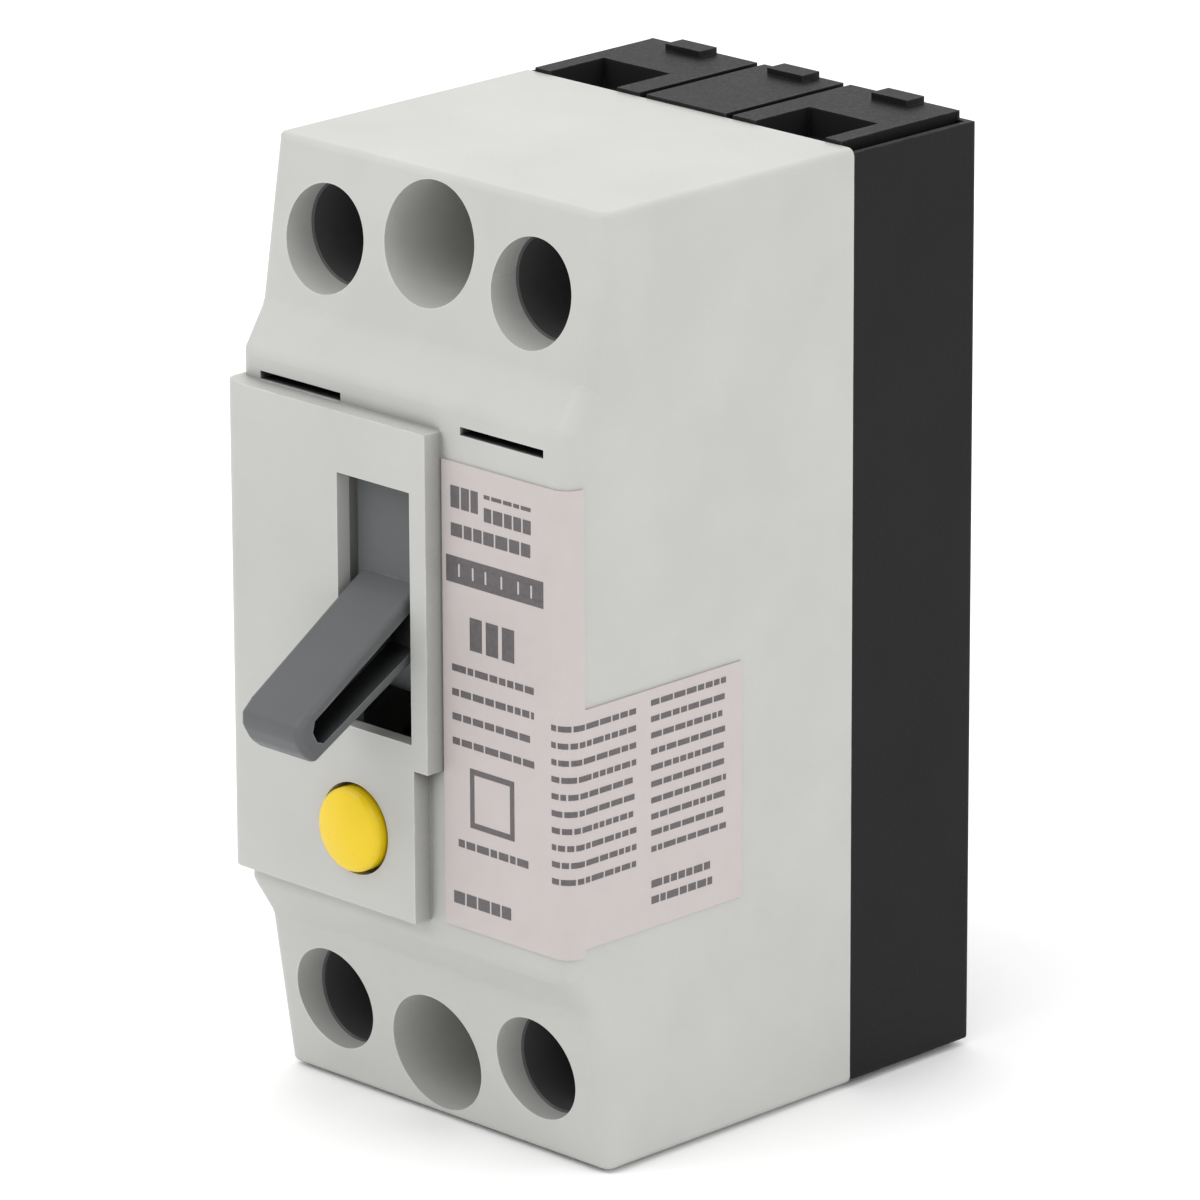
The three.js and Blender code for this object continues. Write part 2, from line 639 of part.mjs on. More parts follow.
// ---------------------------------------------------------------- leakage sensing and tripping
function bimetals() {
  for (const [sideName, side] of SIDES) {
    const x = side * POLE_X;
    const foot = box(x - 1.8, x + 1.8, PLATE_FACE - FIT - 0.8, PLATE_FACE - FIT, BIMETAL_Z - 3.4, BIMETAL_Z);
    const blade = box(x - 1.8, x + 1.8, -22.4, PLATE_FACE - FIT, BIMETAL_Z - 0.8, BIMETAL_Z);
    addNode(`bimetal_${sideName}`, join(foot, blade), 'copper');
  }
}

function sensingCore() {
  const h = CORE_H / 2;
  const edge = 0.6;
  const profile = [
    [CORE_BORE_R, -h + edge],
    [CORE_BORE_R + edge, -h],
    [CORE_R - edge, -h],
    [CORE_R, -h + edge],
    [CORE_R, h - edge],
    [CORE_R - edge, h],
    [CORE_BORE_R + edge, h],
    [CORE_BORE_R, h - edge],
    [CORE_BORE_R, -h + edge],
  ].map(([r, y]) => new THREE.Vector2(r, y));
  const ring = new THREE.LatheGeometry(profile, MEDIUM + 8);
  ring.rotateX(Math.PI / 2);
  ring.translate(0, CORE_Y, CORE_Z);
  addNode('sensing_core', toSolid(ring), 'beige');
}

function primaryLeads() {
  for (const [sideName, side] of SIDES) {
    const route = new THREE.CatmullRomCurve3([
      new THREE.Vector3(side * 7.6, -12.6, -6.5),
      new THREE.Vector3(side * 5.6, -12.4, -8.6),
      new THREE.Vector3(side * 2.1, CORE_Y, -11.6),
      new THREE.Vector3(side * 1.9, CORE_Y, CORE_Z),
      new THREE.Vector3(side * 2.1, CORE_Y, -21.2),
      new THREE.Vector3(side * 4.6, -10.3, -24),
      new THREE.Vector3(side * 6.3, -9.6, -25.4),
    ]);
    addNode(`primary_lead_${sideName}`, toSolid(tube(route, 1.1, 18, 8)), 'insulation');
  }
}

function solenoid() {
  const gap = FIT;
  const frame = cut(
    box(-3.6, 3.6, COIL_Y - 3.5, COIL_Y + 3.2, COIL_Z0 - 1, COIL_Z1 + 1),
    box(-4, 4, COIL_Y - COIL_R - gap, COIL_Y + 4, COIL_Z0, COIL_Z1),
    rodZ(PLUNGER_R + RUN, COIL_Z0 - 2, COIL_Z1 + 2, 0, COIL_Y),
  );
  addNode('solenoid_frame', frame, 'steel');
  const coil = cut(
    join(
      rodZ(COIL_R, COIL_Z0 + gap, COIL_Z0 + 1, 0, COIL_Y, MEDIUM),
      rodZ(COIL_R - 0.4, COIL_Z0 + 0.8, COIL_Z1 - 0.8, 0, COIL_Y, MEDIUM),
      rodZ(COIL_R, COIL_Z1 - 1, COIL_Z1 - gap, 0, COIL_Y, MEDIUM),
    ),
    rodZ(PLUNGER_R + RUN, COIL_Z0 - 2, COIL_Z1 + 2, 0, COIL_Y),
  );
  addNode('solenoid_coil', coil, 'copper');
  const plungerTip = TRIP_BAR_Z - PLUNGER_GAP;
  const plunger = join(
    rodZ(PLUNGER_R, COIL_Z0 + 2, plungerTip, 0, COIL_Y),
    rodZ(PLUNGER_R + 0.9, plungerTip - 0.6, plungerTip, 0, COIL_Y),
  );
  addNode('solenoid_plunger', plunger, 'steel');
}

function circuitBoard() {
  const x0 = -10.4;
  const x1 = 10.4;
  const z0 = -22.5;
  const z1 = -13.4;
  const board = cut(
    box(x0, x1, BOARD_Y, BOARD_Y + BOARD_T, z0, z1 + 4),
    rodY(0.6, BOARD_Y - 1, BOARD_Y + 3, x0 + 1.6, z0 + 1.6),
    rodY(0.6, BOARD_Y - 1, BOARD_Y + 3, x1 - 1.6, z0 + 1.6),
  );
  addNode('circuit_board', board, 'board');
  const rear = BOARD_Y + BOARD_T + FIT;
  const front = BOARD_Y - FIT;
  const disc = join(
    rodY(2.6, rear + 1, rear + 3.2, -7.4, -18.4, MEDIUM),
    rodY(0.3, rear, rear + 1.4, -8.8, -18.4, 8),
    rodY(0.3, rear, rear + 1.4, -6, -18.4, 8),
  );
  addNode('surge_varistor', disc, 'blueLacquer');
  addNode('filter_capacitor', rodY(2.2, rear, rear + 3.4, 7.4, -18.4, MEDIUM), 'beige');
  const legs = [];
  for (let i = 0; i < 4; i += 1) {
    const z = -21 + i * 1.27;
    legs.push(box(2.6, 8, front - 0.5, front, z - 0.2, z + 0.2));
  }
  const chipBody = box(3.4, 7.2, front - 1.7, front - 0.25, -21.6, -16.6);
  addNode('control_chip', join(chipBody, ...legs), 'chip');
  const resistor = join(
    rodZ(0.9, -19.5, -14.5, -8.4, front - 1.3),
    rodZ(0.3, -21, -13, -8.4, front - 1.3, 8),
    rodY(0.3, front - 1.4, front, -8.4, -20.8, 8),
    rodY(0.3, front - 1.4, front, -8.4, -13.2, 8),
  );
  addNode('test_resistor', resistor, 'beige');
  const blade = prismX(outline([
    [front - 0.4, -20.6],
    [front, -20.6],
    [front, -18.4],
    [front - 2.4, BUTTON_Z + 2],
    [front - 2.8, BUTTON_Z + 2],
    [front - 0.4, -18.6],
  ]), BUTTON_X - 1.2, BUTTON_X + 1.2);
  addNode('test_blade', blade, 'brass');
}

function testButton() {
  const stemEnd = BOARD_Y - 3.8;
  const flangeFront = FRONT + STEP_DEPTH + WALL + 0.2;
  const cap = new THREE.LatheGeometry([
    [0, stemEnd],
    [1.2, stemEnd],
    [1.2, flangeFront + 1],
    [BUTTON_R + 0.9, flangeFront + 1],
    [BUTTON_R + 0.9, flangeFront],
    [BUTTON_R, flangeFront],
    [BUTTON_R, FRONT - BUTTON_PROUD + 0.4],
    [BUTTON_R - 0.4, FRONT - BUTTON_PROUD],
    [0, FRONT - BUTTON_PROUD],
  ].reverse().map(([r, y]) => new THREE.Vector2(r, y)), FINE);
  cap.translate(BUTTON_X, 0, BUTTON_Z);
  addNode('test_button', toSolid(cap), 'buttonPlastic');
}

function plungerSpring() {
  const TURNS = 2;
  const z0 = COIL_Z1 + 1.2;
  const z1 = TRIP_BAR_Z - PLUNGER_GAP - 0.8;
  const wire = 0.16;
  const spring = tube(new Helix(PLUNGER_R + 0.5, (z1 - z0 - 2 * wire) / TURNS, TURNS), wire, TURNS * 12, 6);
  spring.translate(0, COIL_Y, z0 + wire);
  addNode('plunger_spring', toSolid(spring), 'steel');
}

housingBase();
housingCover();
caseScrews();
ratingLabel();
handleGroup();
driveLink();
mechanismFrames();
latch();
tripBar();
contactSet();
arcChutes();
terminalPlates();
terminalScrews();
bimetals();
sensingCore();
primaryLeads();
solenoid();
plungerSpring();
circuitBoard();
testButton();

export default breaker;
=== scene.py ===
import json
import math
import random

import bmesh
import bpy
from mathutils import Matrix, Vector


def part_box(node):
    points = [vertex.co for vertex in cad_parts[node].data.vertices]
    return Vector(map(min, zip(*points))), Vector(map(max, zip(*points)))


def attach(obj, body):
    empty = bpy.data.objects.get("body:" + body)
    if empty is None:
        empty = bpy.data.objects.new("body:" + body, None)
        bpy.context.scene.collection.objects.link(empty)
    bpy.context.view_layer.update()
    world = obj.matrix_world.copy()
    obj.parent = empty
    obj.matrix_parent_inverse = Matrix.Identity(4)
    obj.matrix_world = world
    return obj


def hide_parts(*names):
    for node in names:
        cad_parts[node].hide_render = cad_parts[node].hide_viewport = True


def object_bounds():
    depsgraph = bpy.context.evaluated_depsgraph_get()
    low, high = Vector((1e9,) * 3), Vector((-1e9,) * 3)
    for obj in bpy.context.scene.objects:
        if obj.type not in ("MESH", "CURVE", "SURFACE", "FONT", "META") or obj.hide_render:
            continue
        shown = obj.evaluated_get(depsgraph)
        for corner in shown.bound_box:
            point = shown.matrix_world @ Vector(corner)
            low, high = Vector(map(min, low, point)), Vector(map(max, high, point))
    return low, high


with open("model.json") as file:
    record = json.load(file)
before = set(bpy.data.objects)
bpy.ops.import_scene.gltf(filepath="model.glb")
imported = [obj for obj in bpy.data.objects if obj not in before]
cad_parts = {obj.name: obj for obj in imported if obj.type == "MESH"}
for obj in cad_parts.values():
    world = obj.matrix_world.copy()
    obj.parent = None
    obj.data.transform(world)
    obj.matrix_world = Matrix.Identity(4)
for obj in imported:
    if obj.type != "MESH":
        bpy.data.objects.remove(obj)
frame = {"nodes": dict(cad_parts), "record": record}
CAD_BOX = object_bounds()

MM = 0.001
ON_AXIS = 1e-6
BODY = "housing_body"
SIDES = {"left": -1, "right": 1}
ENDS = {"line": 1, "load": -1}

# ---------------------------------------------------------------- sizes shared with the CAD model, mm
WIDTH = 33.0
HEIGHT = 70.0
DEPTH = 43.0
HALF_W = WIDTH / 2
HALF_H = HEIGHT / 2
FRONT = -DEPTH
SPLIT = -12.8
CORNER = 1.3
WALL = 1.5
STEP = 1.6
BEVEL_DEPTH = 3.5
END_DEPTH = 5.4
BEVEL_TOP = 20.0
BEVEL_END = 23.0
PANEL_RIGHT = 4.1
PANEL_NOTCH = 2.7
PANEL_NOTCH_TOP = -7.0
PANEL_TOP = 17.9
PANEL_BOTTOM = -18.4
POLE_X = 10.3
TERMINAL_Z = 28.45
ACCESS_R = 3.9
ACCESS_TUBE_R = 4.9
ACCESS_PLATE_END = -36.4
GUIDE_END = -20.0
GUIDE_R = 3.75
MOUNT_Z = 30.0
MOUNT_BORE_R = 4.45
MOUNT_TUBE_R = 5.3
MOUNT_SEAT = -4.5
MOUNT_SCREW_R = 2.25
PEDESTAL_TOP = -6.2
PLATE_FACE = -7.3
WIRE_W = 6.8
SCREW_R = 1.6
CASE_SCREW_X = 13.1
CASE_SCREW_Z = 21.2
CASE_COLUMN = 2.1
CASE_SHANK_R = 1.1
CASE_HEAD_R = 2.1
CASE_HEAD_T = 1.4
CASE_SHANK_END = -20.0
SLOT_X = (-4.8, 2.5)
SLOT_Z = (-5.1, 13.4)
VENT_X = (6.0, 14.2)
VENT_Z = (18.0, 18.6)
HANDLE_Y = FRONT + 9
HANDLE_Z = 4.2
HANDLE_X = (-4.4, 2.1)
LEVER_X = (-4.1, 1.9)
DRUM_R = 8.7
HUB_R = 3.2
HANDLE_BORE_R = 1.3
POCKET_DEPTH = 2.4
CRANK_R = 5.6
CRANK_ANGLE = math.radians(22.5)
CRANK_X = (-3.6, -2.2)
CRANK_PIN_R = 0.7
BUTTON_X = -3.4
BUTTON_Z = -12.7
BUTTON_R = 3.1
BUTTON_PROUD = 0.9
BUTTON_STEM_R = 1.2
BUTTON_STEM_END = -35.2
BUTTON_FLANGE = 0.9
END_PLATE_PROUD = 0.3
TAB_HALF_W = 1.75
TAB_Y = (-2.6, -0.8)
TAB_PROUD = 0.5
BAND_X = (HALF_W - 1.25, HALF_W - 0.4)
BAND_DEPTH = 0.9
GROOVE_X = 4.3
GROOVE_HALF_W = 0.35
RUN = 0.3


# ---------------------------------------------------------------- mesh tools
def make_object(name, bm):
    """A new object in the scene from a bmesh, still in millimetres."""
    bmesh.ops.recalc_face_normals(bm, faces=bm.faces)
    mesh = bpy.data.meshes.new(name)
    bm.to_mesh(mesh)
    bm.free()
    obj = bpy.data.objects.new(name, mesh)
    bpy.context.scene.collection.objects.link(obj)
    return obj


def prism(name, outline, axis, low, high):
    """An outline pushed along an axis. The outline is (y, z) for X, (x, z) for Y and (x, y) for Z."""
    def place(a, b, along):
        if axis == "X":
            return (along, a, b)
        if axis == "Y":
            return (a, along, b)
        return (a, b, along)

    bm = bmesh.new()
    near = [bm.verts.new(place(a, b, low)) for a, b in outline]
    far = [bm.verts.new(place(a, b, high)) for a, b in outline]
    bm.faces.new(near)
    bm.faces.new(far)
    count = len(outline)
    for i in range(count):
        j = (i + 1) % count
        bm.faces.new((near[i], near[j], far[j], far[i]))
    return make_object(name, bm)


def box(name, x0, x1, y0, y1, z0, z1):
    return prism(name, [(x0, y0), (x1, y0), (x1, y1), (x0, y1)], "Z", z0, z1)


def circle(radius, a, b, segments):
    turn = 2 * math.pi / segments
    return [(a + radius * math.cos(i * turn), b + radius * math.sin(i * turn)) for i in range(segments)]


def rod(name, axis, radius, low, high, a, b, segments=64):
    return prism(name, circle(radius, a, b, segments), axis, low, high)


def revolve(bm, profile, x, z, segments):
    """Turns a (radius, y) profile about the Y line through x, z. It ends on that line or closes on itself."""
    rings = []
    for radius, y in profile:
        if radius < ON_AXIS:
            rings.append([bm.verts.new((x, y, z))])
        else:
            rings.append([bm.verts.new((a, y, b)) for a, b in circle(radius, x, z, segments)])
    following = rings[1:]
    if len(rings[0]) > 1:
        following.append(rings[0])
    for one, two in zip(rings, following):
        for i in range(segments):
            j = (i + 1) % segments
            if len(one) == 1:
                bm.faces.new((one[0], two[i], two[j]))
            elif len(two) == 1:
                bm.faces.new((one[i], one[j], two[0]))
            else:
                bm.faces.new((one[i], one[j], two[j], two[i]))


def apply_modifier(obj, modifier):
    bpy.context.view_layer.objects.active = obj
    bpy.ops.object.modifier_apply(modifier=modifier.name)


def combine(obj, tools, operation):
    """Joins or cuts obj with the tools, which are used up."""
    for tool in tools:
        modifier = obj.modifiers.new("boolean", "BOOLEAN")
        modifier.operation = operation
        modifier.solver = "EXACT"
        modifier.object = tool
        apply_modifier(obj, modifier)
        bpy.data.objects.remove(tool)
    return obj


def join(obj, *tools):
    return combine(obj, tools, "UNION")


def cut(obj, *tools):
    return combine(obj, tools, "DIFFERENCE")


def weigh_edges(obj, weight_of):
    """Sets each edge's bevel weight from its two ends."""
    mesh = obj.data
    weights = mesh.attributes.new("bevel_weight_edge", "FLOAT", "EDGE")
    for edge in mesh.edges:
        a, b = (mesh.vertices[i].co for i in edge.vertices)
        weights.data[edge.index].value = weight_of(a, b)


def round_weighted(obj, width, segments):
    """Rounds the weighted edges, and leaves triangles, which later cuts need flat."""
    modifier = obj.modifiers.new("round", "BEVEL")
    modifier.limit_method = "WEIGHT"
    modifier.offset_type = "OFFSET"
    modifier.width = width
    modifier.segments = segments
    modifier.use_clamp_overlap = False
    apply_modifier(obj, modifier)
    bm = bmesh.new()
    bm.from_mesh(obj.data)
    bmesh.ops.triangulate(bm, faces=bm.faces)
    bm.to_mesh(obj.data)
    bm.free()
    return obj


def soften(obj, width, segments=3, angle=35):
    """Rounds every remaining sharp edge."""
    modifier = obj.modifiers.new("soften", "BEVEL")
    modifier.limit_method = "ANGLE"
    modifier.angle_limit = math.radians(angle)
    modifier.width = width
    modifier.segments = segments
    modifier.use_clamp_overlap = True
    modifier.miter_outer = "MITER_ARC"
    apply_modifier(obj, modifier)
    return obj


def clean(obj):
    """Merges points that a cut left on top of each other and drops needless ones in flat faces."""
    bm = bmesh.new()
    bm.from_mesh(obj.data)
    bmesh.ops.remove_doubles(bm, verts=bm.verts, dist=1e-4)
    bmesh.ops.dissolve_degenerate(bm, edges=bm.edges, dist=1e-4)
    bmesh.ops.dissolve_limit(bm, angle_limit=math.radians(0.5), verts=bm.verts, edges=bm.edges)
    bm.to_mesh(obj.data)
    bm.free()
    return obj


def finish_piece(obj, body, material, replaces=(), smooth=30):
    """Scales a piece to metres, gives it its material and shading, and rides it on its body."""
    obj.data.transform(Matrix.Scale(MM, 4))
    obj.data.materials.clear()
    obj.data.materials.append(material)
    shade(obj, smooth)
    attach(obj, body)
    if replaces:
        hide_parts(*replaces)
    return obj


def shade(obj, smooth):
    """Smooth shading that keeps edges sharper than an angle, with normals weighted by face size."""
    mesh = obj.data
    for polygon in mesh.polygons:
        polygon.use_smooth = True
    mesh.set_sharp_from_angle(angle=math.radians(smooth))
    weighted = obj.modifiers.new("weighted", "WEIGHTED_NORMAL")
    weighted.keep_sharp = True


# ---------------------------------------------------------------- materials
def srgb(value):
    """A display value from 0 to 255 as linear light."""
    value = value / 255
    if value <= 0.04045:
        return value / 12.92
    return ((value + 0.055) / 1.055) ** 2.4


def colour(red, green, blue):
    return (srgb(red), srgb(green), srgb(blue), 1.0)


def shaded(base, factor):
    return tuple(min(1.0, c * factor) for c in base[:3]) + (1.0,)


class Surface:
    """A Principled material under construction, with helpers for the nodes every finish shares."""

    def __init__(self, name, slot_colour):
        self.material = bpy.data.materials.new(name)
        self.material.use_nodes = True
        self.material.diffuse_color = slot_colour
        self.nodes = self.material.node_tree.nodes
        self.links = self.material.node_tree.links
        self.shader = self.nodes["Principled BSDF"]
        self.coordinates = self.nodes.new("ShaderNodeTexCoord").outputs["Object"]

    def noise(self, size, detail=4.0, stretch=None):
        """Noise whose features are about size metres across."""
        node = self.nodes.new("ShaderNodeTexNoise")
        node.inputs["Scale"].default_value = 1 / size
        node.inputs["Detail"].default_value = detail
        node.inputs["Roughness"].default_value = 0.55
        source = self.coordinates
        if stretch:
            mapping = self.nodes.new("ShaderNodeMapping")
            mapping.inputs["Scale"].default_value = stretch
            self.links.new(source, mapping.inputs["Vector"])
            source = mapping.outputs["Vector"]
        self.links.new(source, node.inputs["Vector"])
        return node.outputs["Fac"]

    def remap(self, value, low, high, from_low=0.3, from_high=0.7):
        """Low to high as the value goes from from_low to from_high, and level beyond."""
        node = self.nodes.new("ShaderNodeMapRange")
        node.inputs["From Min"].default_value = from_low
        node.inputs["From Max"].default_value = from_high
        node.inputs["To Min"].default_value = low
        node.inputs["To Max"].default_value = high
        self.links.new(value, node.inputs["Value"])
        return node.outputs["Result"]

    def ramp(self, value, dark, light):
        """Dark to light over the middle of a noise's range."""
        node = self.nodes.new("ShaderNodeValToRGB")
        node.color_ramp.elements[0].position = 0.3
        node.color_ramp.elements[0].color = dark
        node.color_ramp.elements[1].position = 0.7
        node.color_ramp.elements[1].color = light
        self.links.new(value, node.inputs["Fac"])
        return node.outputs["Color"]

    def mix(self, factor, one, two):
        node = self.nodes.new("ShaderNodeMix")
        node.data_type = "RGBA"
        self.links.new(factor, node.inputs["Factor"])
        for socket, value in ((node.inputs[6], one), (node.inputs[7], two)):
            if isinstance(value, tuple):
                socket.default_value = value
            else:
                self.links.new(value, socket)
        return node.outputs[2]

    def worn_edges(self, radius):
        """1 on convex and concave edges, 0 on flat ground."""
        bevel = self.nodes.new("ShaderNodeBevel")
        bevel.samples = 6
        bevel.inputs["Radius"].default_value = radius
        geometry = self.nodes.new("ShaderNodeNewGeometry")
        dot = self.nodes.new("ShaderNodeVectorMath")
        dot.operation = "DOT_PRODUCT"
        self.links.new(bevel.outputs["Normal"], dot.inputs[0])
        self.links.new(geometry.outputs["Normal"], dot.inputs[1])
        return self.remap(dot.outputs["Value"], 1.0, 0.0, 0.8, 0.99)

    def painted_recess_shade(self, reach):
        """A painted-shade mask from ambient occlusion: 1 deep in a hole or a corner, where shade falls, 0 on
        open ground.
        """
        occlusion = self.nodes.new("ShaderNodeAmbientOcclusion")
        occlusion.samples = 8
        occlusion.only_local = True
        occlusion.inputs["Distance"].default_value = reach
        return self.remap(occlusion.outputs["AO"], 1.0, 0.0, 0.26, 0.7)

    def bump(self, height, distance):
        node = self.nodes.new("ShaderNodeBump")
        node.inputs["Strength"].default_value = 1.0
        node.inputs["Distance"].default_value = distance
        self.links.new(height, node.inputs["Height"])
        self.links.new(node.outputs["Normal"], self.shader.inputs["Normal"])

    def set(self, **values):
        """Links or sets the shader's inputs by name, and returns the material."""
        for key, value in values.items():
            socket = self.shader.inputs[key.replace("_", " ")]
            if hasattr(value, "is_linked"):
                self.links.new(value, socket)
            else:
                socket.default_value = value
        return self.material


def moulded(name, base, roughness=0.5, relief=0.000012, variation=0.035, wear=None, specular=0.5,
            painted_shade=None):
    """Spark-textured injection moulding: slight clouding, paler rubbed edges, and painted shade darkening the
    colour in recesses.
    """
    s = Surface(name, base)
    cloud = s.noise(0.009, detail=3)
    fine = s.noise(0.00022, detail=3)
    tone = s.ramp(cloud, shaded(base, 1 - variation), shaded(base, 1 + variation))
    if wear:
        patchy = s.noise(0.0016, detail=5)
        edges = s.worn_edges(0.00022)
        both = s.nodes.new("ShaderNodeMath")
        both.operation = "MULTIPLY"
        s.links.new(edges, both.inputs[0])
        s.links.new(s.remap(patchy, 0.0, 0.8, 0.35, 0.65), both.inputs[1])
        tone = s.mix(both.outputs[0], tone, wear)
    # Painted shade: a dark colour mixed into the base colour wherever ambient occlusion finds a hole, crease
    # or step wall.
    if painted_shade:
        tone = s.mix(s.painted_recess_shade(0.005), tone, painted_shade)
    s.bump(fine, relief)
    return s.set(Base_Color=tone, Roughness=s.remap(fine, roughness - 0.06, roughness + 0.06),
                 Specular_IOR_Level=specular)


def metal(name, base, roughness=0.32, streak=(1, 1, 12)):
    """Worked metal with a lengthwise grain."""
    s = Surface(name, base)
    grain = s.noise(0.0004, detail=5, stretch=streak)
    stain = s.noise(0.003, detail=4)
    tone = s.ramp(stain, shaded(base, 0.92), shaded(base, 1.04))
    s.bump(grain, 0.000002)
    return s.set(Base_Color=tone, Metallic=1.0,
                 Roughness=s.remap(grain, roughness - 0.08, roughness + 0.1))


def film(name, base):
    """Printed film: satin, very slightly mottled."""
    s = Surface(name, base)
    mottle = s.noise(0.0022, detail=6)
    fibre = s.noise(0.00012, detail=2)
    tone = s.ramp(mottle, shaded(base, 0.975), shaded(base, 1.02))
    s.bump(fibre, 0.000002)
    return s.set(Base_Color=tone, Roughness=s.remap(fibre, 0.42, 0.52))


def ink(name, base):
    """Print that lies a little uneven on the film."""
    s = Surface(name, base)
    density = s.noise(0.0003, detail=5)
    tone = s.ramp(density, shaded(base, 0.85), shaded(base, 1.25))
    return s.set(Base_Color=tone, Roughness=s.remap(density, 0.45, 0.6))


def laminate(name, base):
    """Solder mask over copper tracks."""
    s = Surface(name, base)
    tracks = s.nodes.new("ShaderNodeTexVoronoi")
    tracks.feature = "DISTANCE_TO_EDGE"
    tracks.inputs["Scale"].default_value = 450
    s.links.new(s.coordinates, tracks.inputs["Vector"])
    line = s.remap(tracks.outputs["Distance"], 1.0, 0.0, 0.03, 0.09)
    weave = s.noise(0.0002, detail=2)
    tone = s.mix(line, s.ramp(weave, shaded(base, 0.9), shaded(base, 1.08)), shaded(base, 1.7))
    s.bump(line, 0.00002)
    return s.set(Base_Color=tone, Roughness=s.remap(weave, 0.3, 0.4))


# The last dark colour given to cover, base and handle is painted shade for their holes, creases and step
# walls.
MATERIALS = {
    "cover_plastic": moulded("cover_plastic", colour(178, 178, 175), 0.5, wear=colour(206, 206, 204),
                             specular=0.35, painted_shade=colour(26, 26, 25)),
    "base_plastic": moulded("base_plastic", colour(29, 29, 30), 0.55, relief=0.00002, variation=0.08,
                            wear=colour(74, 74, 74), specular=0.1, painted_shade=colour(8, 8, 8)),
    "guide_plastic": moulded("guide_plastic", colour(76, 76, 76), 0.5, specular=0.3, variation=0.12),
    "handle_plastic": moulded("handle_plastic", colour(86, 88, 89), 0.42, relief=0.000008, variation=0.05,
                              wear=colour(132, 132, 132), specular=0.25, painted_shade=colour(20, 20, 21)),
    "button_plastic": moulded("button_plastic", colour(222, 190, 10), 0.32, relief=0.000004,
                              wear=colour(236, 214, 90), specular=0.4),
    "label_film": film("label_film", colour(182, 174, 172)),
    "label_ink": ink("label_ink", colour(84, 80, 82)),
    "plated_steel": metal("plated_steel", colour(176, 176, 172)),
    "arc_plate_steel": metal("arc_plate_steel", colour(150, 150, 150), 0.4),
    "terminal_brass": metal("terminal_brass", colour(196, 168, 108)),
    "arm_copper": metal("arm_copper", colour(196, 132, 98)),
    "coil_copper": metal("coil_copper", colour(190, 110, 62), 0.3, streak=(1, 1, 30)),
    "contact_silver": metal("contact_silver", colour(214, 213, 208), 0.28),
    "mechanism_moulding": moulded("mechanism_moulding", colour(72, 60, 52), 0.5, variation=0.1),
    "core_casing": moulded("core_casing", colour(206, 192, 160), 0.5),
    "lead_insulation": moulded("lead_insulation", colour(138, 34, 32), 0.4, relief=0.000005),
    "board_laminate": laminate("board_laminate", colour(40, 104, 66)),
    "varistor_lacquer": moulded("varistor_lacquer", colour(44, 92, 160), 0.3, relief=0.000006),
    "capacitor_film": moulded("capacitor_film", colour(206, 168, 100), 0.3, relief=0.000006),
    "chip_plastic": moulded("chip_plastic", colour(36, 36, 38), 0.45),
    "resistor_body": moulded("resistor_body", colour(206, 184, 144), 0.4),
}


# ---------------------------------------------------------------- camera, stage and light
def place_camera():
    """A long lens at the front right, a little above the object."""
    azimuth = math.radians(44.892)
    elevation = math.radians(17.627)
    roll = math.radians(-0.2326)
    distance = 0.63834
    lens = 266.6
    target = Vector((0, -0.022, 0))
    pan = Vector((0.000225, 0.000249))
    outward = Vector((math.sin(azimuth) * math.cos(elevation), -math.cos(azimuth) * math.cos(elevation),
                      math.sin(elevation)))
    right = Vector((math.cos(azimuth), math.sin(azimuth), 0))
    up = outward.cross(right)
    right_rolled = math.cos(roll) * right + math.sin(roll) * up
    up_rolled = math.cos(roll) * up - math.sin(roll) * right
    data = bpy.data.cameras.new("camera")
    data.lens = lens
    data.sensor_width = 36
    data.clip_start = 0.01
    data.clip_end = 10
    camera = bpy.data.objects.new("camera", data)
    turn = Matrix((right_rolled, up_rolled, outward)).transposed()
    place = target + outward * distance + right_rolled * pan.x + up_rolled * pan.y
    camera.matrix_world = Matrix.Translation(place) @ turn.to_4x4()
    bpy.context.scene.collection.objects.link(camera)
    bpy.context.scene.camera = camera


def stage():
    """A pale floor that the load end stands on, far wider than the object."""
    floor_z = CAD_BOX[0][2]
    radius = 6.0
    segments = 96
    bm = bmesh.new()
    rim = [bm.verts.new((x, y, floor_z)) for x, y in circle(radius, 0, 0, segments)]
    centre = bm.verts.new((0, 0, floor_z))
    for i in range(segments):
        bm.faces.new((centre, rim[i], rim[(i + 1) % segments]))
    floor = make_object("stage_floor", bm)
    s = Surface("stage_paper", colour(246, 246, 246))
    s.set(Base_Color=s.ramp(s.noise(0.2), colour(244, 244, 244), colour(248, 248, 248)), Roughness=0.9)
    floor.data.materials.append(s.material)


def area_light(name, azimuth, elevation, distance, size, power):
    """A square lamp aimed at the object, placed by its angles in degrees and its distance in metres."""
    data = bpy.data.lights.new(name, "AREA")
    data.shape = "SQUARE"
    data.size = size
    data.energy = power
    light = bpy.data.objects.new(name, data)
    az = math.radians(azimuth)
    el = math.radians(elevation)
    outward = Vector((math.sin(az) * math.cos(el), -math.cos(az) * math.cos(el), math.sin(el)))
    light.location = Vector((0, -0.02, 0)) + outward * distance
    light.rotation_euler = outward.to_track_quat("Z", "Y").to_euler()
    bpy.context.scene.collection.objects.link(light)


def lights():
    area_light("key", -20, 50, 0.9, 0.5, 2.1)
    area_light("side", 100, 30, 1.0, 0.6, 1.9)
    area_light("top", 30, 80, 0.9, 0.6, 1.0)
    area_light("back", 215, 35, 1.0, 0.8, 1.6)
    world = bpy.data.worlds.new("studio")
    world.use_nodes = True
    world.node_tree.nodes["Background"].inputs["Color"].default_value = (1, 1, 1, 1)
    world.node_tree.nodes["Background"].inputs["Strength"].default_value = 1.0
    bpy.context.scene.world = world
    bpy.context.scene.view_settings.view_transform = "Standard"


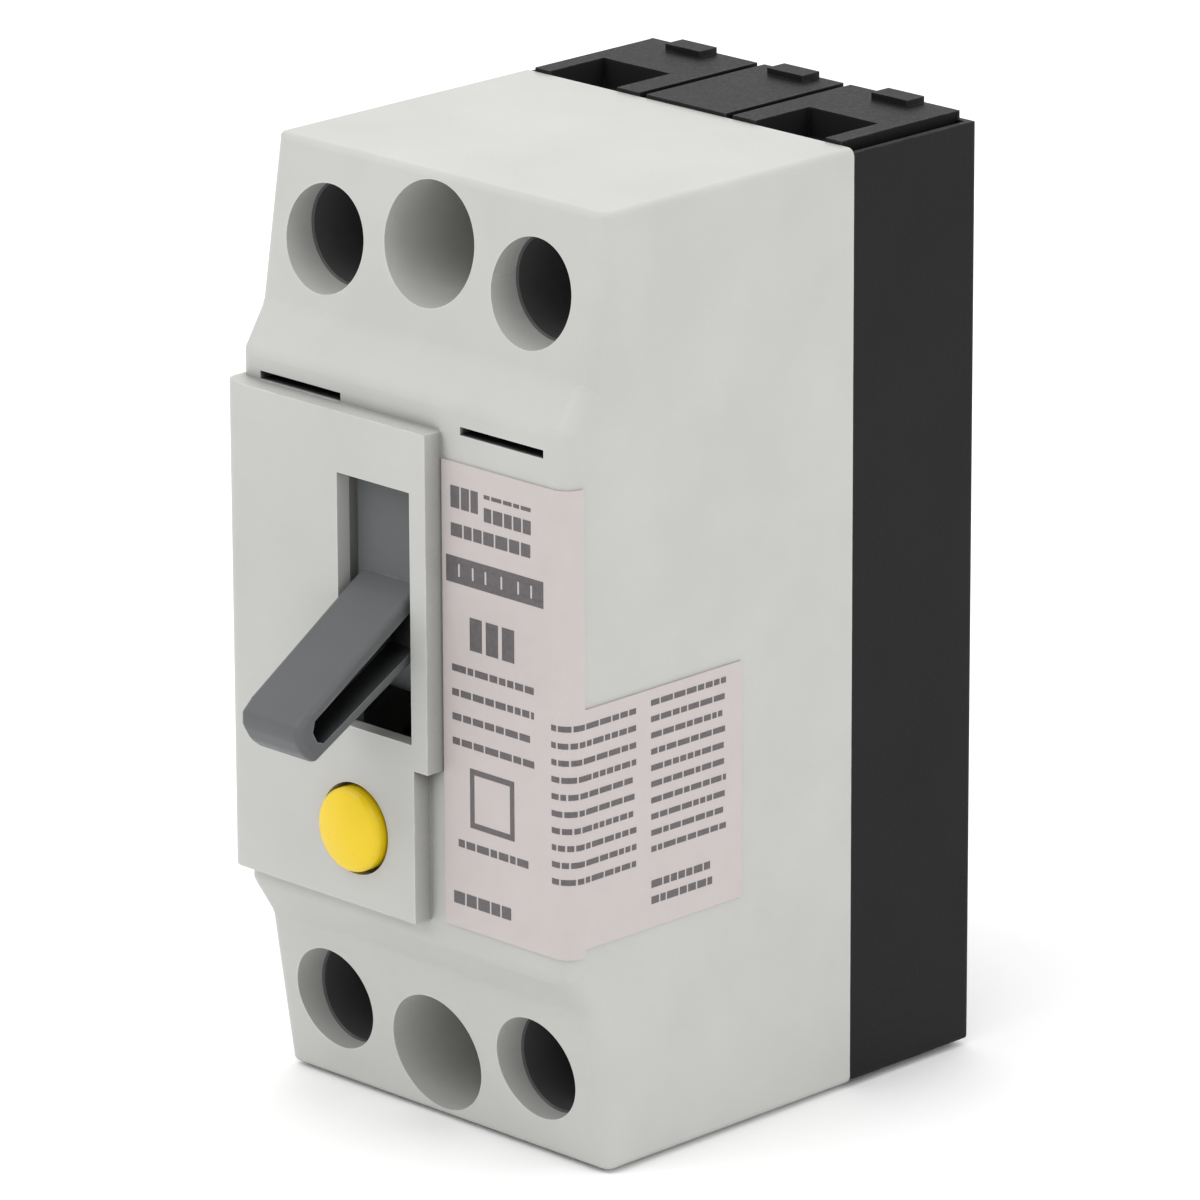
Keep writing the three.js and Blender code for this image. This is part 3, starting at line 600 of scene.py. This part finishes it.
# ---------------------------------------------------------------- housing
def case_column(name, side, end, front, rear):
    """A square column round a case screw, run into the side wall."""
    xs = sorted((side * (CASE_SCREW_X - CASE_COLUMN), side * (HALF_W - 1)))
    z = end * CASE_SCREW_Z
    return box(name, *xs, front, rear, z - CASE_COLUMN, z + CASE_COLUMN)


def cover_shell():
    """The front half of the case: a stepped, hollow box with a raised handle panel and six front holes."""
    profile = [
        (SPLIT, -HALF_H), (SPLIT, HALF_H),
        (FRONT + END_DEPTH, HALF_H), (FRONT + BEVEL_DEPTH, BEVEL_END), (FRONT + STEP, BEVEL_TOP),
        (FRONT + STEP, -BEVEL_TOP), (FRONT + BEVEL_DEPTH, -BEVEL_END), (FRONT + END_DEPTH, -HALF_H),
    ]
    shell = prism("cover_shell", profile, "X", -HALF_W, HALF_W)

    def shell_weight(a, b):
        """None at the rear, little across the front and round the ends, all of it down the sides."""
        if min(a.y, b.y) > SPLIT - 0.1:
            return 0.0
        if abs(a.x - b.x) > 1:
            return 0.4
        if min(abs(a.z), abs(b.z)) > HALF_H - 0.1:
            return 0.45
        return 1.0

    weigh_edges(shell, shell_weight)
    round_weighted(shell, CORNER, 6)

    panel = box("panel", -HALF_W, PANEL_RIGHT, FRONT, FRONT + 4, PANEL_BOTTOM, PANEL_TOP)

    def panel_weight(a, b):
        """Only the upright front edge at the case's left side is rounded."""
        at_front = min(a.y, b.y) < FRONT + 1
        upright = abs(a.z - b.z) > 1
        return 1.0 if at_front and upright and max(a.x, b.x) < -HALF_W + 1 else 0.0

    weigh_edges(panel, panel_weight)
    round_weighted(panel, CORNER, 6)
    cut(panel, box("notch", PANEL_NOTCH, PANEL_RIGHT + 1, FRONT - 1, FRONT + STEP + 0.01,
                   PANEL_BOTTOM - 1, PANEL_NOTCH_TOP))
    join(shell, panel)

    inside = HALF_W - WALL
    room = box("room", -inside, inside, FRONT + END_DEPTH + WALL, SPLIT + 1,
               -HALF_H + WALL, HALF_H - WALL)
    join(room, box("room_mid", -inside, inside, FRONT + STEP + WALL, SPLIT + 1,
                   -BEVEL_TOP + 1, BEVEL_TOP - 1))
    join(room, box("room_handle", HANDLE_X[0] - 1.2, HANDLE_X[1] + 1.2, FRONT + 1.2, SPLIT,
                   SLOT_Z[0] - 1.6, SLOT_Z[1] + 3))
    for end in ENDS.values():
        cut(room, rod("tube", "Y", MOUNT_TUBE_R, FRONT, SPLIT + 2, 0, end * MOUNT_Z))
        for side in SIDES.values():
            cut(room, rod("tube", "Y", ACCESS_TUBE_R, FRONT, ACCESS_PLATE_END,
                          side * POLE_X, end * TERMINAL_Z))
            cut(room, case_column("column", side, end, FRONT, SPLIT + 2))
    cut(shell, room)
    for end in ENDS.values():
        cut(shell, rod("bore", "Y", MOUNT_BORE_R, FRONT - 1, SPLIT + 1, 0, end * MOUNT_Z, 72))
        for side in SIDES.values():
            cut(shell, rod("access", "Y", ACCESS_R, FRONT - 1, SPLIT + 1,
                           side * POLE_X, end * TERMINAL_Z, 72))
            cut(shell, rod("pilot", "Y", CASE_SHANK_R + RUN, CASE_SHANK_END - 1, SPLIT + 1,
                           side * CASE_SCREW_X, end * CASE_SCREW_Z, 24))
    for side in SIDES.values():
        xs = sorted((side * VENT_X[0], side * VENT_X[1]))
        cut(shell, box("vent", *xs, FRONT + STEP - 1, FRONT + STEP + 3, *VENT_Z))
    cut(shell, box("slot", *SLOT_X, FRONT - 1, FRONT + 6, *SLOT_Z))
    cut(shell, rod("button_hole", "Y", BUTTON_R + RUN, FRONT - 1, FRONT + 6, BUTTON_X, BUTTON_Z, 72))
    clean(shell)
    soften(shell, 0.16, 3)
    return finish_piece(shell, BODY, MATERIALS["cover_plastic"], ["housing_cover"])


def base_shell():
    """The rear half of the case: an open tray with end plates, wire mouths, pedestals and screw columns."""
    end_inset = 0.3
    floor = 2.2
    half = HALF_H - end_inset
    shell = box("base_shell", -HALF_W, HALF_W, SPLIT, 0, -half, half)

    def rear_weight(a, b):
        return 1.0 if a.y > -1 and b.y > -1 else 0.0

    weigh_edges(shell, rear_weight)
    round_weighted(shell, 0.5, 4)
    join(shell, box("end_plate", -HALF_W + 1.2, HALF_W - 1.2, SPLIT, -0.6,
                    -HALF_H - END_PLATE_PROUD, HALF_H + END_PLATE_PROUD))
    cut(shell, box("room", -HALF_W + WALL, HALF_W - WALL, SPLIT - 1, -floor,
                   -HALF_H + WALL + 0.4, HALF_H - WALL - 0.4))
    for x in (-POLE_X, 0, POLE_X):
        join(shell, box("tab", x - TAB_HALF_W, x + TAB_HALF_W, *TAB_Y,
                        HALF_H - 0.7, HALF_H + END_PLATE_PROUD + TAB_PROUD))
    for end in ENDS.values():
        for side in SIDES.values():
            band = sorted((side * BAND_X[0], side * BAND_X[1]))
            depth = sorted((end * (half - BAND_DEPTH), end * (half + 2)))
            cut(shell, box("band", *band, SPLIT - 1, -0.9, *depth))
        join(shell, rod("boss", "Y", MOUNT_TUBE_R, SPLIT + RUN, -floor / 2, 0, end * MOUNT_Z))
        cut(shell, rod("bore", "Y", MOUNT_BORE_R, SPLIT - 1, MOUNT_SEAT, 0, end * MOUNT_Z, 72))
        cut(shell, rod("through", "Y", MOUNT_SCREW_R, MOUNT_SEAT - 1, 1, 0, end * MOUNT_Z, 48))
        for side in SIDES.values():
            x0 = side * POLE_X - WIRE_W / 2
            x1 = side * POLE_X + WIRE_W / 2
            reach = sorted((end * 13, end * (HALF_H - WALL)))
            mouth = sorted((end * (HALF_H - WALL - 1), end * (HALF_H + 2)))
            groove = sorted((end * (HALF_H - 0.2), end * (HALF_H + 2)))
            join(shell, box("pedestal", x0, x1, PEDESTAL_TOP, -floor / 2, *reach))
            join(shell, case_column("column", side, end, SPLIT + RUN, -floor / 2))
            cut(shell, box("mouth", x0, x1, SPLIT - 1, PLATE_FACE, *mouth))
            cut(shell, rod("clear", "Y", SCREW_R + RUN, PEDESTAL_TOP - 1, -1.4,
                           side * POLE_X, end * TERMINAL_Z, 32))
            cut(shell, box("groove", side * GROOVE_X - GROOVE_HALF_W, side * GROOVE_X + GROOVE_HALF_W,
                           SPLIT - 1, 1, *groove))
            cut(shell, rod("shank", "Y", CASE_SHANK_R + RUN, SPLIT - 1, 1,
                           side * CASE_SCREW_X, end * CASE_SCREW_Z, 24))
            cut(shell, rod("head", "Y", CASE_HEAD_R + RUN, -CASE_HEAD_T - RUN, 1,
                           side * CASE_SCREW_X, end * CASE_SCREW_Z, 40))
    clean(shell)
    soften(shell, 0.15, 2)
    return finish_piece(shell, BODY, MATERIALS["base_plastic"], ["housing_base"])


def screw_guides():
    """Dark sleeves that line the four screw holes behind the cover's front wall."""
    lip = 0.3
    section = [
        (GUIDE_R, GUIDE_END), (GUIDE_R, ACCESS_PLATE_END + lip), (GUIDE_R + lip, ACCESS_PLATE_END),
        (ACCESS_TUBE_R, ACCESS_PLATE_END), (ACCESS_TUBE_R, GUIDE_END),
    ]
    bm = bmesh.new()
    for end in ENDS.values():
        for side in SIDES.values():
            revolve(bm, section, side * POLE_X, end * TERMINAL_Z, 64)
    guides = make_object("screw_guides", bm)
    return finish_piece(guides, BODY, MATERIALS["guide_plastic"])


# ---------------------------------------------------------------- handle and button
def arc(radius, start, stop, steps):
    """Points round the handle's axis, between two angles in degrees."""
    return [(radius * math.cos(math.radians(start + (stop - start) * i / steps)),
             radius * math.sin(math.radians(start + (stop - start) * i / steps))) for i in range(steps + 1)]


def at_handle(points):
    """Moves an outline drawn about the handle's axis to its place."""
    return [(HANDLE_Y + y, HANDLE_Z + z) for y, z in points]


def handle_piece():
    """The toggle: a skirt that closes the slot, a lever with a moulded pocket each side, and a crank."""
    skirt_outline = [(-7.5, 0), (-7.5, 9.7), (-6.3, 9.7), (-2.4, 2.6)]
    skirt_outline += arc(HUB_R, 90, -60, 20)
    skirt_outline += arc(DRUM_R, -65, -160, 36)
    skirt = prism("toggle_handle", at_handle(skirt_outline), "X", *HANDLE_X)
    soften(skirt, 0.2, 2)
    lever_outline = [
        (-4, 4.2), (-8.6, 1.35), (-18.3, -4.9), (-19.3, -5.8), (-19.3, -6.8), (-18.6, -8.0),
        (-17.6, -8.8), (-9, -4.1), (-3, -0.9),
    ]
    lever = prism("lever", at_handle(lever_outline), "X", *LEVER_X)

    def lever_weight(a, b):
        return 1.0 if abs(a.x - b.x) < 0.1 else 0.6

    weigh_edges(lever, lever_weight)
    round_weighted(lever, 0.55, 4)
    pocket_outline = [
        (-6.6, 1.35), (-17.7, -5.6), (-17.9, -6.4), (-17.5, -7.2), (-16.9, -7.4), (-6.6, -1.7),
    ]
    for side in SIDES.values():
        face = LEVER_X[1] if side > 0 else LEVER_X[0]
        span = sorted((face - side * POCKET_DEPTH, face + side * 1.0))
        cut(lever, prism("pocket", at_handle(pocket_outline), "X", *span))
    crank_y = CRANK_R * math.cos(CRANK_ANGLE)
    crank_z = CRANK_R * math.sin(CRANK_ANGLE)
    crank_outline = [(0, -2), (crank_y + 1, crank_z - 1.6), (crank_y + 1.6, crank_z + 1),
                     (crank_y, crank_z + 1.8), (-1, 2.6)]
    crank = prism("crank", at_handle(crank_outline), "X", *CRANK_X)
    join(skirt, lever, crank)
    cut(skirt, rod("bore", "X", HANDLE_BORE_R, -6, 4, HANDLE_Y, HANDLE_Z, 32),
        rod("pin_bore", "X", CRANK_PIN_R, -4, -2, HANDLE_Y + crank_y, HANDLE_Z + crank_z, 24))
    return finish_piece(skirt, "handle_body", MATERIALS["handle_plastic"],
                        ["handle"])


def button_piece():
    """The test button: a stem, a flange behind the front wall, and a cap with a round rim and a low dome."""
    flange = FRONT + STEP + WALL + 0.2
    face = FRONT - BUTTON_PROUD
    rim = 0.6
    dome = 0.4
    rim_sweep = 75
    rim_steps = 6
    dome_steps = 7
    flange_r = BUTTON_R + BUTTON_FLANGE
    profile = [
        (0, BUTTON_STEM_END), (BUTTON_STEM_R, BUTTON_STEM_END), (BUTTON_STEM_R, flange + 1),
        (flange_r, flange + 1), (flange_r, flange), (BUTTON_R, flange),
    ]
    for i in range(rim_steps + 1):
        angle = math.radians(rim_sweep * i / rim_steps)
        profile.append((BUTTON_R - rim + rim * math.cos(angle), face + rim - rim * math.sin(angle)))
    dome_r, dome_y = profile[-1]
    for i in range(1, dome_steps + 1):
        share = 1 - i / dome_steps
        profile.append((dome_r * share, dome_y - dome * (1 - share * share)))
    bm = bmesh.new()
    revolve(bm, profile, BUTTON_X, BUTTON_Z, 72)
    cap = make_object("test_button_cap", bm)
    return finish_piece(cap, "test_button_body", MATERIALS["button_plastic"],
                        ["test_button"])


# ---------------------------------------------------------------- label
LABEL_T = 0.14
LABEL_LIFT = 0.03
LABEL_LEFT = PANEL_RIGHT + 0.2
LABEL_STRIP_Z = (-18.2, 16.0)
LABEL_FLAG_END = FRONT + 18.7
LABEL_FLAG_Z = (-17.6, 0.0)
LABEL_R = CORNER + LABEL_LIFT + LABEL_T
LABEL_CX = HALF_W - CORNER
LABEL_CY = FRONT + STEP + CORNER
LABEL_BEND = LABEL_R * math.pi / 2
INK_LIFT = 0.02
INK_T = 0.03


def on_label(s, z, lift):
    """The point at s along the label from its front left edge, going round the corner, and height z."""
    front = LABEL_CX - LABEL_LEFT
    radius = LABEL_R + lift
    if s <= front:
        return (LABEL_LEFT + s, LABEL_CY - radius, z)
    if s <= front + LABEL_BEND:
        angle = (s - front) / LABEL_R
        return (LABEL_CX + radius * math.sin(angle), LABEL_CY - radius * math.cos(angle), z)
    return (LABEL_CX + radius, LABEL_CY + s - front - LABEL_BEND, z)


def label_patch(bm, s0, s1, z0, z1, lift, thick):
    """A curved rectangle of film or ink, closed, on the label's surface."""
    steps = max(1, math.ceil((s1 - s0) / 0.4))
    columns = []
    for i in range(steps + 1):
        s = s0 + (s1 - s0) * i / steps
        columns.append([bm.verts.new(on_label(s, z, depth))
                        for depth in (lift, lift - thick) for z in (z0, z1)])
    for one, two in zip(columns, columns[1:]):
        bm.faces.new((one[0], one[1], two[1], two[0]))
        bm.faces.new((one[2], two[2], two[3], one[3]))
        bm.faces.new((one[0], two[0], two[2], one[2]))
        bm.faces.new((one[1], one[3], two[3], two[1]))
    for column in (columns[0], columns[-1]):
        bm.faces.new((column[0], column[2], column[3], column[1]))


def label_film():
    """One film: a strip beside the panel that goes round the corner, and a shorter flag on the side."""
    side_start = LABEL_CX - LABEL_LEFT + LABEL_BEND
    bm = bmesh.new()
    label_patch(bm, 0, side_start + 0.2, *LABEL_STRIP_Z, 0, LABEL_T)
    piece = make_object("label_film", bm)
    bm = bmesh.new()
    label_patch(bm, 4, side_start + LABEL_FLAG_END - LABEL_CY, *LABEL_FLAG_Z, 0, LABEL_T)
    join(piece, make_object("flag", bm))
    return finish_piece(piece, BODY, MATERIALS["label_film"], ["rating_label"], smooth=50)


def print_bar(bm, s0, s1, z, height):
    label_patch(bm, s0, s1, z - height / 2, z + height / 2, INK_LIFT, INK_T)


def print_row(bm, rng, s0, s1, z, height, word, gap):
    """A line of bars of uneven length, word being their shortest and longest."""
    shortest_left = 0.25
    s = s0
    while s < s1 - shortest_left:
        length = min(rng.uniform(*word), s1 - s)
        print_bar(bm, s, s + length, z, height)
        s += length + gap


def print_square(bm, s, z, half, line):
    """A plain square outline."""
    for dz in (-half, half - line):
        label_patch(bm, s - half, s + half, z + dz, z + dz + line, INK_LIFT, INK_T)
    for ds in (-half, half - line):
        label_patch(bm, s + ds, s + ds + line, z - half + line, z + half - line, INK_LIFT, INK_T)


def label_print():
    """Plain bars in place of the label's text, on the strip and in two columns on the flag."""
    rng = random.Random(7)
    bm = bmesh.new()
    # Left, right, middle height and bar height of each row on the strip.
    strip_rows = [
        (0.9, 3.6, 13.5, 1.6), (4.2, 8.8, 14.1, 0.28), (4.2, 8.8, 12.8, 1.0), (0.9, 9.0, 11.1, 0.95),
        (0.9, 9.0, 1.0, 0.5), (0.9, 9.0, -0.8, 0.5), (0.9, 8.6, -2.6, 0.5), (0.9, 9.0, -4.4, 0.5),
        (1.4, 8.4, -11.9, 0.55), (0.9, 6.6, -16.0, 0.9),
    ]
    small_print = 0.6
    for s0, s1, z, height in strip_rows:
        word = (0.5, 1.4) if height < small_print else (0.7, 1.2)
        print_row(bm, rng, s0, s1, z, height, word, 0.18)

    band_left, band_right, band_z, band_line = 0.4, 10.0, 8.2, 0.5
    for dz in (-0.72, 0.72):
        print_bar(bm, band_left, band_right, band_z + dz, band_line)
    print_row(bm, rng, band_left, band_right, band_z, 0.96, (0.7, 1.5), 0.2)

    block_left, block_w, block_pitch, block_z, block_h = 2.7, 1.2, 1.6, 3.8, 2.4
    for i in range(3):
        left = block_left + i * block_pitch
        print_bar(bm, left, left + block_w, block_z, block_h)

    # Left, right, top and row pitch of each column on the flag.
    for left, right, top, pitch in ((10.7, 18.4, -1.2, 1.25), (19.9, 27.4, -1.0, 1.2)):
        for i in range(10):
            print_row(bm, rng, left, right, top - i * pitch, 0.42, (0.4, 1.2), 0.16)
    for z in (-14.4, -15.6):
        print_row(bm, rng, 19.9, 26.0, z, 0.55, (0.4, 1.2), 0.16)
    print_square(bm, 4.8, -8.3, 2.2, 0.42)
    piece = make_object("label_print", bm)
    return finish_piece(piece, BODY, MATERIALS["label_ink"], smooth=50)


# ---------------------------------------------------------------- carried-over CAD pieces
def dress_cad_nodes():
    """Gives each CAD node its slot's material and a fine bevel on its sharp edges."""
    widest_edge = 0.00012
    share_of_size = 0.12
    slot_of = {entry["node"]: entry["material_slot"] for entry in frame["record"]["subparts"]}
    for name, node in frame["nodes"].items():
        material = MATERIALS[slot_of[name]]
        node.data.materials.clear()
        node.data.materials.append(material)
        for polygon in node.data.polygons:
            polygon.use_smooth = False
        low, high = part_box(name)
        edge = node.modifiers.new("edge", "BEVEL")
        edge.limit_method = "ANGLE"
        edge.angle_limit = math.radians(40)
        edge.width = min(widest_edge, min(high - low) * share_of_size)
        edge.segments = 2


place_camera()
stage()
lights()
dress_cad_nodes()
cover_shell()
base_shell()
screw_guides()
handle_piece()
button_piece()
label_film()
label_print()
